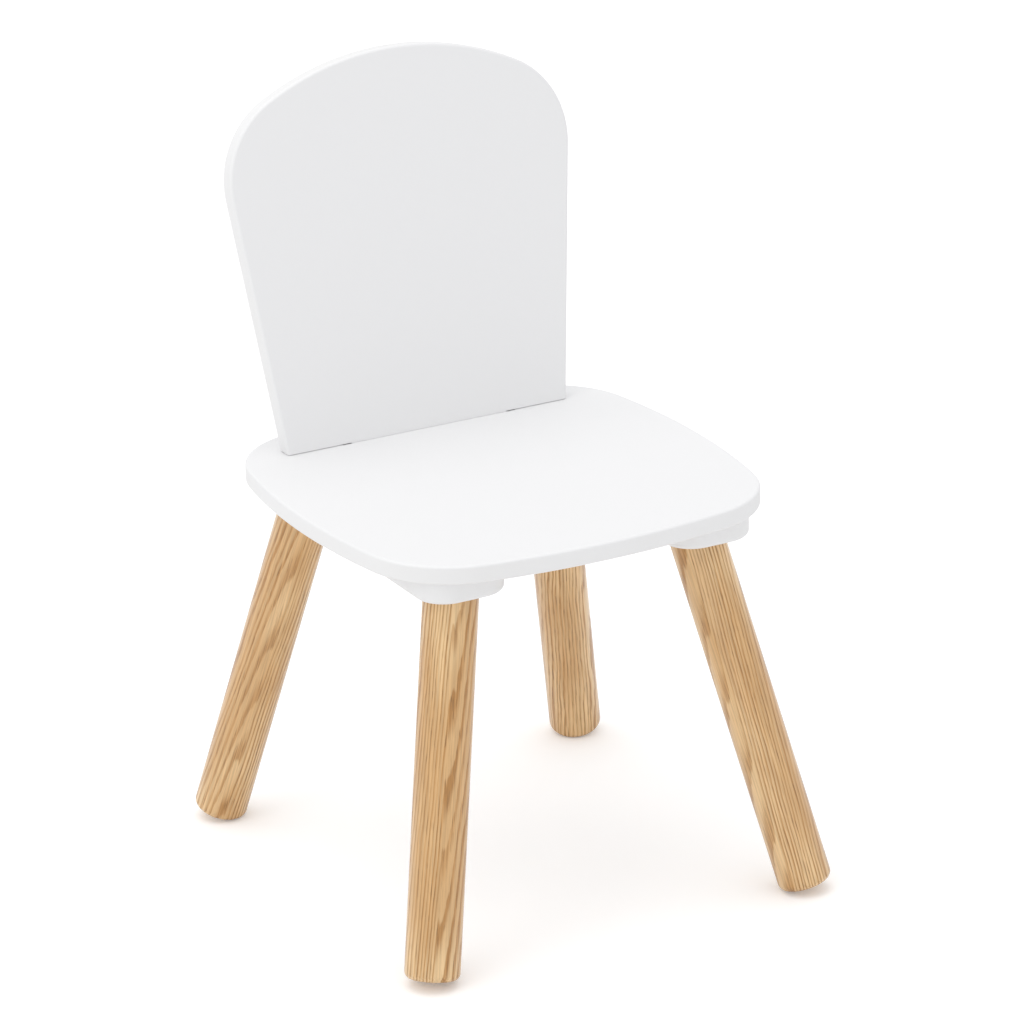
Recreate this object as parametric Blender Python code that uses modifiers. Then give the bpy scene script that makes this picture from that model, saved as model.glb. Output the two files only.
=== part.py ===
"""A child's chair: a painted seat and backrest board on four splayed ash legs.

Metres, +Z up. The sitter faces -Y. The origin is on the floor, under the middle of the seat.
"""

import math

import bmesh
import bpy
from mathutils import Matrix, Vector

# Boards
BOARD = 0.012
SEAT_EDGE_RADIUS = 0.0018
BACK_EDGE_RADIUS = 0.0022
GAP = 0.0003
CUT_MARGIN = 0.001

# Seat
SEAT_TOP = 0.265
SEAT_HALF = 0.144
SEAT_SIDE_RADIUS = 0.495
SEAT_CORNER_RADIUS = 0.0625
SEAT_REAR_SHARE = 0.978

# Backrest, measured on its front face from the plane of the seat's top
BACK_Y = 0.0948
BACK_LEAN = math.radians(9.2)
BACK_HEIGHT = 0.2505
BACK_BOTTOM_HALF = 0.1025
BACK_FLARE = math.radians(6.7)
BACK_TOP_RADIUS = 0.195
BACK_SHOULDER_RADIUS = 0.060
TONGUE_HALF = 0.0575
SHOULDER_GAP = 0.0004
SHOULDER_CUT = 0.005
SLOT_END_PLAY = 0.006

# Legs
LEG_RADIUS = 0.0175
LEG_FOOT_ROUNDING = 0.005
LEG_TOP_CHAMFER = 0.0008
LEG_AT_RAIL = (0.0870, 0.0955)
LEG_AT_FLOOR = (0.1368, 0.1510)

# Rails under the seat, each with a socket for a front and a rear leg
RAIL_INNER = 0.0583
RAIL_OUTER = 0.1173
RAIL_HALF_LENGTH = 0.126
RAIL_CORNER_RADIUS = 0.020
RAIL_HEIGHT = 0.015
RAIL_ROUNDING = 0.003
SOCKET_DEPTH = 0.0055
SOCKET_CUT_LENGTH = 0.020

# Hanger bolt and its insert nut, on each leg's axis
BOLT_RADIUS = 0.004
BOLT_CHAMFER = 0.0008
BOLT_IN_LEG = 0.036
BOLT_IN_INSERT = 0.013
INSERT_RADIUS = 0.006
INSERT_LENGTH = 0.014

# Wood screws
SCREW_RADIUS = 0.002
SCREW_HEAD_RADIUS = 0.0038
SCREW_RECESS_RADIUS = 0.0016
SCREW_RECESS_DEPTH = 0.0018
SCREW_POINT = 0.004
RAIL_SCREW_LENGTH = 0.022
RAIL_SCREW_CIRCLE = 0.0234
RAIL_SCREW_ANGLES = (60, 180, 300)
CLEAT_SCREW_LENGTH = 0.030
CLEAT_SCREW_X = {"left": -0.038, "middle": 0.0, "right": 0.038}

# Cleat that the backrest's tongue is bolted to
CLEAT_HALF = 0.055
CLEAT_HEIGHT = 0.022
CLEAT_FRONT_Y = 0.060
CLEAT_SCREW_Y = 0.070
CLEAT_EDGE = 0.001

# Bolts through the tongue
BACK_BOLT_X = {"left": -0.026, "right": 0.026}
BACK_BOLT_RADIUS = 0.003
BACK_BOLT_LENGTH = 0.022
BACK_BOLT_HEAD_RADIUS = 0.0065
BACK_BOLT_HEAD_HEIGHT = 0.0022
BACK_BOLT_RIM_HEIGHT = 0.0013
BACK_BOLT_CROWN_RADIUS = 0.0055
BACK_BOLT_SOCKET_RADIUS = 0.002
BACK_INSERT_RADIUS = 0.0045
BACK_INSERT_LENGTH = 0.010

SEAT_UNDERSIDE = SEAT_TOP - BOARD
RAIL_UNDERSIDE = SEAT_UNDERSIDE - RAIL_HEIGHT
CORNERS = {
    "front_left": (-1, -1),
    "front_right": (1, -1),
    "rear_left": (-1, 1),
    "rear_right": (1, 1),
}
ROUND_STEPS = 40
FASTENER_STEPS = 16
SCREW_STEPS = 12


def clear_scene():
    for obj in list(bpy.data.objects):
        bpy.data.objects.remove(obj, do_unlink=True)


def new_collection(name):
    collection = bpy.data.collections.new(name)
    bpy.context.scene.collection.children.link(collection)
    return collection


def new_material(name, colour, roughness, metallic=0.0):
    material = bpy.data.materials.new(name)
    material.use_nodes = True
    shader = material.node_tree.nodes["Principled BSDF"]
    shader.inputs["Base Color"].default_value = (*colour, 1.0)
    shader.inputs["Roughness"].default_value = roughness
    shader.inputs["Metallic"].default_value = metallic
    material.diffuse_color = (*colour, 1.0)
    return material


def add_part(name, mesh, material, place=None):
    """Puts a mesh in the chair's collection as a named piece, at the given place."""
    obj = bpy.data.objects.new(name, mesh)
    mesh.materials.append(material)
    parts.objects.link(obj)
    obj.parent = chair
    if place is not None:
        obj.matrix_local = place
    return obj


def cut(target, cutter):
    modifier = target.modifiers.new(cutter.name, "BOOLEAN")
    modifier.operation = "DIFFERENCE"
    modifier.solver = "EXACT"
    modifier.object = cutter


def add_cutter(name, mesh, place):
    cutter = bpy.data.objects.new(name, mesh)
    cutters.objects.link(cutter)
    cutter.matrix_world = place
    cutter.hide_render = True
    cutter.display_type = "WIRE"
    return cutter


def place_on_axis(point, axis):
    """A frame at the point whose +Z runs along the axis."""
    return Matrix.Translation(point) @ Vector(axis).to_track_quat("Z", "Y").to_matrix().to_4x4()


def arc(centre, radius, start, end, steps):
    """Points of an arc in a plane, both ends included. Angles are in radians."""
    angles = [start + (end - start) * step / steps for step in range(steps + 1)]
    return [
        Vector((centre[0] + radius * math.cos(angle), centre[1] + radius * math.sin(angle)))
        for angle in angles
    ]


def outline_mesh(name, points, thickness, upper_rim=1.0):
    """A flat board with the given closed outline in X and Y, centred on Z = 0.

    The upper rim takes this share of the rounding that the lower rim gets.
    """
    curve = bpy.data.curves.new(name, "CURVE")
    curve.dimensions = "2D"
    curve.fill_mode = "BOTH"
    curve.extrude = thickness / 2
    spline = curve.splines.new("POLY")
    spline.points.add(len(points) - 1)
    for slot, point in zip(spline.points, points):
        slot.co = (point[0], point[1], 0.0, 1.0)
    spline.use_cyclic_u = True
    outline = bpy.data.objects.new(name + "_outline", curve)
    bpy.context.scene.collection.objects.link(outline)
    graph = bpy.context.evaluated_depsgraph_get()
    mesh = bpy.data.meshes.new_from_object(outline.evaluated_get(graph))
    mesh.name = name
    bpy.data.objects.remove(outline, do_unlink=True)
    shape = bmesh.new()
    shape.from_mesh(mesh)
    bmesh.ops.remove_doubles(shape, verts=shape.verts, dist=1e-6)
    bmesh.ops.dissolve_limit(
        shape, angle_limit=math.radians(0.5), verts=shape.verts, edges=shape.edges
    )
    bmesh.ops.recalc_face_normals(shape, faces=shape.faces)
    weights = shape.edges.layers.float.new("bevel_weight_edge")
    for edge in shape.edges:
        low, high = sorted(vertex.co.z for vertex in edge.verts)
        edge[weights] = float(high < 0) + upper_rim * float(low > 0)
    shape.to_mesh(mesh)
    shape.free()
    return mesh


def round_rims(obj, radius, segments=3):
    """Rounds the edges where a board's faces meet its sides."""
    bevel = obj.modifiers.new("rounded_edges", "BEVEL")
    bevel.width = radius
    bevel.segments = segments
    bevel.limit_method = "WEIGHT"


def turned_mesh(name, profile, steps, closed=False):
    """A mesh turned about Z from (radius, height) points that run down its outer side."""
    edges = [(index, index + 1) for index in range(len(profile) - 1)]
    if closed:
        edges.append((len(profile) - 1, 0))
    line = bpy.data.meshes.new(name + "_profile")
    line.from_pydata([(radius, 0.0, height) for radius, height in profile], edges, [])
    turning = bpy.data.objects.new(name + "_profile", line)
    bpy.context.scene.collection.objects.link(turning)
    screw = turning.modifiers.new("turn", "SCREW")
    screw.steps = steps
    screw.render_steps = steps
    screw.use_merge_vertices = True
    screw.merge_threshold = 0.00001
    graph = bpy.context.evaluated_depsgraph_get()
    mesh = bpy.data.meshes.new_from_object(turning.evaluated_get(graph))
    mesh.name = name
    bpy.data.objects.remove(turning, do_unlink=True)
    mesh.shade_smooth()
    mesh.set_sharp_from_angle(angle=math.radians(35))
    return mesh


def rod_mesh(name, radius, length, steps=FASTENER_STEPS):
    """A plain cylinder that stands on Z = 0."""
    return turned_mesh(name, [(0, length), (radius, length), (radius, 0), (0, 0)], steps)


def wood_screw_profile(length):
    """A countersunk wood screw whose head faces down at Z = 0."""
    head_height = SCREW_HEAD_RADIUS - SCREW_RADIUS
    return [
        (0, length),
        (SCREW_RADIUS, length - SCREW_POINT),
        (SCREW_RADIUS, head_height + GAP),
        (SCREW_HEAD_RADIUS, GAP),
        (SCREW_HEAD_RADIUS, 0),
        (SCREW_RECESS_RADIUS, 0),
        (0, SCREW_RECESS_DEPTH),
    ]


def screw_hole_profile(length):
    """The hole for a wood screw: wider by the gap all round, and open below the head."""
    head_height = SCREW_HEAD_RADIUS - SCREW_RADIUS
    return [
        (0, length + GAP),
        (SCREW_RADIUS + GAP, length + GAP),
        (SCREW_RADIUS + GAP, head_height + 2 * GAP),
        (SCREW_HEAD_RADIUS + GAP, 2 * GAP),
        (SCREW_HEAD_RADIUS + GAP, -CUT_MARGIN),
        (0, -CUT_MARGIN),
    ]


def seat_outline():
    """A square with bulging sides and round corners, a little shorter in its rear half."""
    side_centre = SEAT_HALF - SEAT_SIDE_RADIUS
    reach = SEAT_SIDE_RADIUS - SEAT_CORNER_RADIUS
    corner = (side_centre + math.sqrt(2 * reach**2 - side_centre**2)) / 2
    joint = math.atan2(corner, corner - side_centre)
    quarter = arc((side_centre, 0), SEAT_SIDE_RADIUS, -joint, joint, 6)[:-1]
    quarter += arc((corner, corner), SEAT_CORNER_RADIUS, joint, math.pi / 2 - joint, 10)[:-1]
    turns = [Matrix.Rotation(math.pi / 2 * turn, 2) for turn in range(4)]
    points = [turn @ point for turn in turns for point in quarter]
    return [Vector((x, y * SEAT_REAR_SHARE if y > 0 else y)) for x, y in points]


def rectangle(left, right, front, rear):
    return [Vector(point) for point in ((left, front), (right, front), (right, rear), (left, rear))]


def back_outline():
    """The backrest with its tongue, in the plane of the board."""
    shoulder_level = BOARD * math.tan(BACK_LEAN) - SHOULDER_CUT
    tongue_end = -(BOARD + CLEAT_HEIGHT) / math.cos(BACK_LEAN)
    along = Vector((math.sin(BACK_FLARE), math.cos(BACK_FLARE)))
    outward = Vector((math.cos(BACK_FLARE), -math.sin(BACK_FLARE)))
    side_foot = Vector((BACK_BOTTOM_HALF, 0))
    top_centre = Vector((0, BACK_HEIGHT - BACK_TOP_RADIUS))
    offset = side_foot - BACK_SHOULDER_RADIUS * outward - top_centre
    reach = BACK_TOP_RADIUS - BACK_SHOULDER_RADIUS
    travel = math.sqrt(offset.dot(along) ** 2 - offset.length_squared + reach**2)
    shoulder = top_centre + offset + (travel - offset.dot(along)) * along
    meet = math.atan2(shoulder.y - top_centre.y, shoulder.x)
    half = [
        Vector((TONGUE_HALF, tongue_end)),
        Vector((TONGUE_HALF, shoulder_level)),
        side_foot + along * shoulder_level / along.y,
    ]
    half += arc(shoulder, BACK_SHOULDER_RADIUS, -BACK_FLARE, meet, 12)
    half += arc(top_centre, BACK_TOP_RADIUS, meet, math.pi / 2, 8)[1:-1]
    mirrored = [Vector((-point.x, point.y)) for point in reversed(half)]
    return half + [Vector((0, BACK_HEIGHT))] + mirrored


def back_frame():
    """The backrest's frame: X across, Y up the board, +Z out of its front face."""
    turn = Matrix.Rotation(math.pi / 2 - BACK_LEAN, 4, "X")
    front = turn.to_3x3() @ Vector((0, 0, 1))
    middle = Vector((0, BACK_Y, SEAT_TOP)) - front * BOARD / 2
    return Matrix.Translation(middle) @ turn


def leg_axis(corner):
    """Where a leg's axis crosses the rail's underside, and its direction up the leg."""
    side, end = corner
    at_rail = Vector((side * LEG_AT_RAIL[0], end * LEG_AT_RAIL[1], RAIL_UNDERSIDE))
    at_floor = Vector((side * LEG_AT_FLOOR[0], end * LEG_AT_FLOOR[1], 0))
    return at_rail, (at_rail - at_floor).normalized()


def leg_end(corner):
    """The middle of a leg's upper end, which stands in its socket in the rail."""
    at_rail, up = leg_axis(corner)
    return at_rail + up * SOCKET_DEPTH


def leg_length():
    """From the upper end to the foot, whose rounded rim just touches the floor."""
    end = leg_end(CORNERS["front_right"])
    up = leg_axis(CORNERS["front_right"])[1]
    lean = math.acos(up.z)
    rim = (LEG_RADIUS - LEG_FOOT_ROUNDING) * math.sin(lean) + LEG_FOOT_ROUNDING
    return (end.z - rim) / up.z + LEG_FOOT_ROUNDING


def make_leg(name, corner):
    """A round leg, its upper end at Z = 0, with a pilot hole for the hanger bolt."""
    length = leg_length()
    hole = BOLT_RADIUS + GAP
    foot = arc(
        (LEG_RADIUS - LEG_FOOT_ROUNDING, LEG_FOOT_ROUNDING - length),
        LEG_FOOT_ROUNDING,
        0,
        -math.pi / 2,
        5,
    )
    profile = [
        (0, -BOLT_IN_LEG - GAP),
        (hole, -BOLT_IN_LEG - GAP),
        (hole, 0),
        (LEG_RADIUS - LEG_TOP_CHAMFER, 0),
        (LEG_RADIUS, -LEG_TOP_CHAMFER),
    ]
    profile += [(point.x, point.y) for point in foot]
    profile.append((0, -length))
    mesh = turned_mesh(name, profile, ROUND_STEPS)
    return add_part(name, mesh, ash, place_on_axis(leg_end(corner), leg_axis(corner)[1]))


def make_hanger_bolt(name, corner):
    """Wood thread down in the leg, machine thread up in the insert."""
    profile = [
        (0, BOLT_IN_INSERT),
        (BOLT_RADIUS - BOLT_CHAMFER, BOLT_IN_INSERT),
        (BOLT_RADIUS, BOLT_IN_INSERT - BOLT_CHAMFER),
        (BOLT_RADIUS, -BOLT_IN_LEG + SCREW_POINT),
        (0, -BOLT_IN_LEG),
    ]
    mesh = turned_mesh(name, profile, FASTENER_STEPS)
    return add_part(name, mesh, steel, place_on_axis(leg_end(corner), leg_axis(corner)[1]))


def make_insert(name, corner):
    """A threaded sleeve sunk through the rail and into the seat."""
    bottom = 2 * GAP
    bore = BOLT_RADIUS + GAP
    profile = [
        (INSERT_RADIUS, bottom + INSERT_LENGTH),
        (INSERT_RADIUS, bottom),
        (bore, bottom),
        (bore, bottom + INSERT_LENGTH),
    ]
    mesh = turned_mesh(name, profile, FASTENER_STEPS, closed=True)
    return add_part(name, mesh, steel, place_on_axis(leg_end(corner), leg_axis(corner)[1]))


def insert_hole(name, corner):
    """The hole for the insert, from inside the leg's socket to just past the insert."""
    mesh = rod_mesh(name, INSERT_RADIUS + GAP, INSERT_LENGTH + 4 * GAP)
    return add_cutter(name, mesh, place_on_axis(leg_end(corner), leg_axis(corner)[1]))


def leg_socket(name, corner):
    """The round socket that a leg's upper end stands in."""
    up = leg_axis(corner)[1]
    start = leg_end(corner) + up * (GAP - SOCKET_CUT_LENGTH)
    mesh = rod_mesh(name, LEG_RADIUS + GAP, SOCKET_CUT_LENGTH, ROUND_STEPS)
    return add_cutter(name, mesh, place_on_axis(start, up))


def rail_screw_points(corner):
    """Where the three screws go: one inward of the leg, the others evenly round it."""
    at_rail = leg_axis(corner)[0]
    outward = math.atan2(at_rail.y, at_rail.x)
    points = []
    for degrees in RAIL_SCREW_ANGLES:
        angle = outward + math.radians(degrees)
        spoke = Vector((math.cos(angle), math.sin(angle), 0))
        points.append(at_rail + RAIL_SCREW_CIRCLE * spoke)
    return points


def rail_outline():
    """A long rectangle with round corners."""
    across = (RAIL_OUTER - RAIL_INNER) / 2 - RAIL_CORNER_RADIUS
    along = RAIL_HALF_LENGTH - RAIL_CORNER_RADIUS
    points = []
    for turn, centre in enumerate(
        ((across, along), (-across, along), (-across, -along), (across, -along))
    ):
        start = math.pi / 2 * turn
        points += arc(centre, RAIL_CORNER_RADIUS, start, start + math.pi / 2, 9)
    return points


def make_rail(name, side):
    """A board under one side of the seat, with its rim rounded below."""
    thickness = RAIL_HEIGHT - GAP
    mesh = outline_mesh(name, rail_outline(), thickness, upper_rim=0.0)
    middle = (side * (RAIL_INNER + RAIL_OUTER) / 2, 0, RAIL_UNDERSIDE + thickness / 2)
    rail = add_part(name, mesh, paint, Matrix.Translation(middle))
    round_rims(rail, RAIL_ROUNDING, 4)
    return rail


def make_seat():
    mesh = outline_mesh("seat_panel", seat_outline(), BOARD)
    middle = Matrix.Translation((0, 0, SEAT_TOP - BOARD / 2))
    seat = add_part("seat_panel", mesh, paint, middle)
    round_rims(seat, SEAT_EDGE_RADIUS)
    return seat


def make_backrest():
    """The backrest, its shoulders then sawn level just above the seat."""
    mesh = outline_mesh("backrest_panel", back_outline(), BOARD)
    backrest = add_part("backrest_panel", mesh, paint, back_frame())
    round_rims(backrest, BACK_EDGE_RADIUS)
    inner = TONGUE_HALF - 2 * GAP
    outer = BACK_BOTTOM_HALF + BOARD
    for name, left, right in (
        ("shoulder_cut_left", -outer, -inner),
        ("shoulder_cut_right", inner, outer),
    ):
        outline = rectangle(left, right, BACK_Y - BOARD, BACK_Y + 2 * BOARD)
        level = SEAT_TOP + SHOULDER_GAP - BOARD / 2
        cutter = add_cutter(
            name, outline_mesh(name, outline, BOARD), Matrix.Translation((0, 0, level))
        )
        cut(backrest, cutter)
    return backrest


def tongue_slot():
    """The leaning slot through the seat that the tongue passes down."""
    width = TONGUE_HALF + SLOT_END_PLAY
    depth = 2 * (BOARD + CLEAT_HEIGHT)
    outline = rectangle(-width, width, -depth, depth)
    mesh = outline_mesh("tongue_slot", outline, BOARD + 2 * GAP)
    return add_cutter("tongue_slot", mesh, back_frame())


def make_cleat():
    """A wooden bar under the seat whose rear face leans with the tongue."""
    top = SEAT_UNDERSIDE - GAP
    bottom = SEAT_UNDERSIDE - CLEAT_HEIGHT
    slope = math.tan(BACK_LEAN)
    face = BACK_Y - GAP / math.cos(BACK_LEAN)
    section = [
        (CLEAT_FRONT_Y, bottom),
        (face - (SEAT_TOP - bottom) * slope, bottom),
        (face - (SEAT_TOP - top) * slope, top),
        (CLEAT_FRONT_Y, top),
    ]
    mesh = outline_mesh("back_cleat", section, 2 * CLEAT_HALF)
    # The section's X becomes world Y, and its Y becomes world Z.
    stand_up = Matrix(((0, 0, 1, 0), (1, 0, 0, 0), (0, 1, 0, 0), (0, 0, 0, 1)))
    cleat = add_part("back_cleat", mesh, beech, stand_up)
    round_rims(cleat, CLEAT_EDGE, 2)
    return cleat


def add_screw(name, point, length, *targets):
    """A wood screw driven upwards at the point, and its hole in each target."""
    place = Matrix.Translation(point)
    add_part(name, turned_mesh(name, wood_screw_profile(length), SCREW_STEPS), steel, place)
    hole = turned_mesh(name + "_hole", screw_hole_profile(length), SCREW_STEPS)
    cutter = add_cutter(name + "_hole", hole, place)
    for target in targets:
        cut(target, cutter)


def back_bolt_place(x):
    """On the tongue's rear face, level with the middle of the cleat, facing forward."""
    frame = back_frame()
    drop = -(BOARD + CLEAT_HEIGHT / 2) / math.cos(BACK_LEAN)
    return frame @ Matrix.Translation((x, drop, -BOARD / 2))


def add_back_bolt(side, x, tongue, cleat):
    """A bolt from behind, through the tongue and into an insert in the cleat."""
    place = back_bolt_place(x)
    head = [
        (0, BACK_BOLT_LENGTH),
        (BACK_BOLT_RADIUS, BACK_BOLT_LENGTH),
        (BACK_BOLT_RADIUS, -GAP),
        (BACK_BOLT_HEAD_RADIUS, -GAP),
        (BACK_BOLT_HEAD_RADIUS, -BACK_BOLT_RIM_HEIGHT),
        (BACK_BOLT_CROWN_RADIUS, -BACK_BOLT_HEAD_HEIGHT),
        (BACK_BOLT_SOCKET_RADIUS, -BACK_BOLT_HEAD_HEIGHT),
        (BACK_BOLT_SOCKET_RADIUS, -GAP),
        (0, -GAP),
    ]
    name = "back_bolt_" + side
    add_part(name, turned_mesh(name, head, FASTENER_STEPS), steel, place)
    start = BOARD + 2 * GAP
    bore = BACK_BOLT_RADIUS + GAP
    sleeve = [
        (BACK_INSERT_RADIUS, start + BACK_INSERT_LENGTH),
        (BACK_INSERT_RADIUS, start),
        (bore, start),
        (bore, start + BACK_INSERT_LENGTH),
    ]
    name = "back_insert_" + side
    add_part(name, turned_mesh(name, sleeve, FASTENER_STEPS, closed=True), steel, place)
    name = "back_bolt_hole_" + side
    hole = rod_mesh(name, bore, BOARD + 2 * CUT_MARGIN)
    hole_start = Matrix.Translation((0, 0, -CUT_MARGIN))
    cut(tongue, add_cutter(name, hole, place @ hole_start))
    name = "back_insert_hole_" + side
    pocket = rod_mesh(name, BACK_INSERT_RADIUS + GAP, BACK_INSERT_LENGTH + 3 * CUT_MARGIN)
    pocket_start = Matrix.Translation((0, 0, BOARD - CUT_MARGIN))
    cut(cleat, add_cutter(name, pocket, place @ pocket_start))


def add_corner(where, corner, rail, seat):
    """One leg with its hanger bolt, insert, socket and screws."""
    make_leg("leg_" + where, corner)
    make_hanger_bolt("hanger_bolt_" + where, corner)
    make_insert("leg_insert_" + where, corner)
    cut(rail, leg_socket("leg_socket_" + where, corner))
    hole = insert_hole("leg_insert_hole_" + where, corner)
    cut(rail, hole)
    cut(seat, hole)
    for number, point in enumerate(rail_screw_points(corner), start=1):
        name = f"rail_screw_{where}_{number}"
        add_screw(name, point, RAIL_SCREW_LENGTH, rail, seat)


clear_scene()
parts = new_collection("kids_chair")
cutters = new_collection("cutters")
paint = new_material("white_paint", (0.84, 0.84, 0.85), 0.42)
ash = new_material("ash_wood", (0.62, 0.40, 0.20), 0.45)
beech = new_material("beech_wood", (0.66, 0.47, 0.28), 0.55)
steel = new_material("zinc_steel", (0.62, 0.63, 0.64), 0.32, 1.0)
chair = bpy.data.objects.new("chair", None)
parts.objects.link(chair)

seat_panel = make_seat()
backrest_panel = make_backrest()
back_cleat = make_cleat()
cut(seat_panel, tongue_slot())
leg_rails = {-1: make_rail("leg_rail_left", -1), 1: make_rail("leg_rail_right", 1)}
for place_name, corner_signs in CORNERS.items():
    add_corner(place_name, corner_signs, leg_rails[corner_signs[0]], seat_panel)
for place_name, screw_x in CLEAT_SCREW_X.items():
    screw_point = Vector((screw_x, CLEAT_SCREW_Y, SEAT_UNDERSIDE - CLEAT_HEIGHT))
    add_screw("cleat_screw_" + place_name, screw_point, CLEAT_SCREW_LENGTH, back_cleat, seat_panel)
for place_name, bolt_x in BACK_BOLT_X.items():
    add_back_bolt(place_name, bolt_x, backrest_panel, back_cleat)
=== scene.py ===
import math

import bmesh
import bpy
from mathutils import Matrix, Vector


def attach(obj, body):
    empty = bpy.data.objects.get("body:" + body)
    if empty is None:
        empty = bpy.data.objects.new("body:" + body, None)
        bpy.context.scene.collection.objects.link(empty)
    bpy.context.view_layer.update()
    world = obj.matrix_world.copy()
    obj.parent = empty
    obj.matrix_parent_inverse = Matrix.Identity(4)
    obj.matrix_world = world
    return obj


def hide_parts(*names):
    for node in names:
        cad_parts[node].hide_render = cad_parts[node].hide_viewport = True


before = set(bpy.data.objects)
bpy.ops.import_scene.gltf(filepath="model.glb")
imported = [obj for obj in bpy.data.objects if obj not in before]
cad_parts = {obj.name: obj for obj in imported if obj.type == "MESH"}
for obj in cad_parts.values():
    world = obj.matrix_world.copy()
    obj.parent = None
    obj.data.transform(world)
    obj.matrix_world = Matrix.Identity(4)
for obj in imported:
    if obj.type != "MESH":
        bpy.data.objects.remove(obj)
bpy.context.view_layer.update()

# Back board. A board of 12 mm fibreboard, primed, sanded and sprayed white, wider at the shoulders
# than at the foot, its top one wide arc. The shoulders are sawn level to sit on the seat, and
# between them a tongue goes down through the seat and past the cleat.
BOARD = 0.012
FIT = 0.0003
SEAT_TOP = 0.265
BACK_FOOT_Y = 0.0948
BACK_LEAN = math.radians(9.2)
BACK_HEIGHT = 0.2505
BACK_FOOT_HALF_WIDTH = 0.1025
BACK_FLARE = math.radians(6.7)
BACK_TOP_ARC = 0.195
BACK_SHOULDER_ARC = 0.060
BACK_TOP_STEPS = 30
BACK_SHOULDER_STEPS = 40
BACK_RIM_ROUNDING = 0.0022
TONGUE_HALF_WIDTH = 0.0575
SHOULDER_GAP = 0.0004
SHOULDER_CUT = 0.005
CLEAT_HEIGHT = 0.022
CUT_PAST = 0.001
HOLE_FACETS = 32
WHITE_LACQUER = (0.845, 0.845, 0.850, 1.0)
THIN_LACQUER = (0.800, 0.795, 0.780, 1.0)
THIN_SHARE = 0.35
LACQUER_ROUGHNESS = 0.40
PEEL_DEPTH = 0.000025
SHARP_ANGLE = math.radians(32)


def arc(centre, radius, start, end, steps):
    """Points along an arc in a plane, both ends included, with angles in radians."""
    points = []
    for step in range(steps + 1):
        angle = start + (end - start) * step / steps
        direction = Vector((math.cos(angle), math.sin(angle)))
        points.append(Vector(centre) + radius * direction)
    return points


def rectangle(left, right, front, rear):
    corners = ((left, front), (right, front), (right, rear), (left, rear))
    return [Vector(corner) for corner in corners]


def slab(outline, thickness, rounding=0.0, steps=7, upper_rim=True):
    """A flat piece with this outline in X and Y, centred on Z = 0, its rims rounded."""
    shape = bmesh.new()
    rims = []
    for level in (-thickness / 2, thickness / 2):
        rims.append([shape.verts.new((point.x, point.y, level)) for point in outline])
    shape.faces.new(rims[1])
    shape.faces.new(reversed(rims[0]))
    for index in range(len(outline)):
        after = (index + 1) % len(outline)
        shape.faces.new((rims[0][index], rims[0][after], rims[1][after], rims[1][index]))
    bmesh.ops.recalc_face_normals(shape, faces=shape.faces)
    if rounding:
        edges = []
        for edge in shape.edges:
            low, high = sorted(vertex.co.z for vertex in edge.verts)
            if high < 0 or (upper_rim and low > 0):
                edges.append(edge)
        bmesh.ops.bevel(
            shape, geom=edges, offset=rounding, segments=steps, profile=0.5, affect="EDGES"
        )
    return finished_mesh(shape)


def finished_mesh(shape):
    mesh = bpy.data.meshes.new("shape")
    shape.to_mesh(mesh)
    shape.free()
    return mesh


def turned(profile, steps, pitch=1.0, ridge_share=1.0, closed=False):
    """A mesh turned about Z. Each profile row is (radius, height), and a third number there is
    the depth of the thread that winds round at that height."""
    shape = bmesh.new()
    rows = []
    for radius, height, *thread in profile:
        row = []
        for step in range(steps if radius else 1):
            share = step / steps
            across = radius
            if thread:
                crest = abs((height / pitch - share) % 1 - 0.5) * 2
                across -= thread[0] * min(1.0, crest / ridge_share)
            angle = 2 * math.pi * share
            point = (across * math.cos(angle), across * math.sin(angle), height)
            row.append(shape.verts.new(point))
        rows.append(row)
    pairs = list(zip(rows, rows[1:]))
    if closed:
        pairs.append((rows[-1], rows[0]))
    for upper, lower in pairs:
        for step in range(steps):
            after = step + 1
            corners = (
                upper[step % len(upper)],
                lower[step % len(lower)],
                lower[after % len(lower)],
                upper[after % len(upper)],
            )
            shape.faces.new(list(dict.fromkeys(corners)))
    bmesh.ops.recalc_face_normals(shape, faces=shape.faces)
    return finished_mesh(shape)


def drilled(mesh, place, holes):
    """The mesh, standing at its place, with each (hole mesh, hole place) cut out of it."""
    work = bpy.data.objects.new("work", mesh)
    work.matrix_world = place
    cutters = bmesh.new()
    for hole, hole_place in holes:
        at_hole = hole.copy()
        at_hole.transform(hole_place)
        cutters.from_mesh(at_hole)
    tool = bpy.data.objects.new("tool", finished_mesh(cutters))
    for helper in (work, tool):
        bpy.context.scene.collection.objects.link(helper)
    cut = work.modifiers.new("cut", "BOOLEAN")
    cut.operation = "DIFFERENCE"
    cut.solver = "EXACT"
    cut.object = tool
    bpy.context.view_layer.update()
    graph = bpy.context.evaluated_depsgraph_get()
    result = bpy.data.meshes.new_from_object(work.evaluated_get(graph))
    for helper in (work, tool):
        bpy.data.objects.remove(helper, do_unlink=True)
    return result


def fit_piece(name, mesh, place, finish, node):
    """Stands a finished piece in the chair for the solid that it replaces."""
    mesh = mesh.copy()
    mesh.transform(place)
    mesh.name = name
    piece = bpy.data.objects.new(name, mesh)
    bpy.context.scene.collection.objects.link(piece)
    mesh.materials.clear()
    mesh.materials.append(finish)
    mesh.shade_smooth()
    mesh.set_sharp_from_angle(angle=SHARP_ANGLE)
    weighted = piece.modifiers.new("even_shading", "WEIGHTED_NORMAL")
    weighted.keep_sharp = True
    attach(piece, "root")
    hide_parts(node)
    return piece


def wire(tree, sockets, values):
    """Links each value that is a socket, and sets each that is a number or colour."""
    for socket, value in zip(sockets, values):
        if isinstance(value, bpy.types.NodeSocket):
            tree.links.new(value, socket)
        elif value is not None:
            socket.default_value = value


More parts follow.
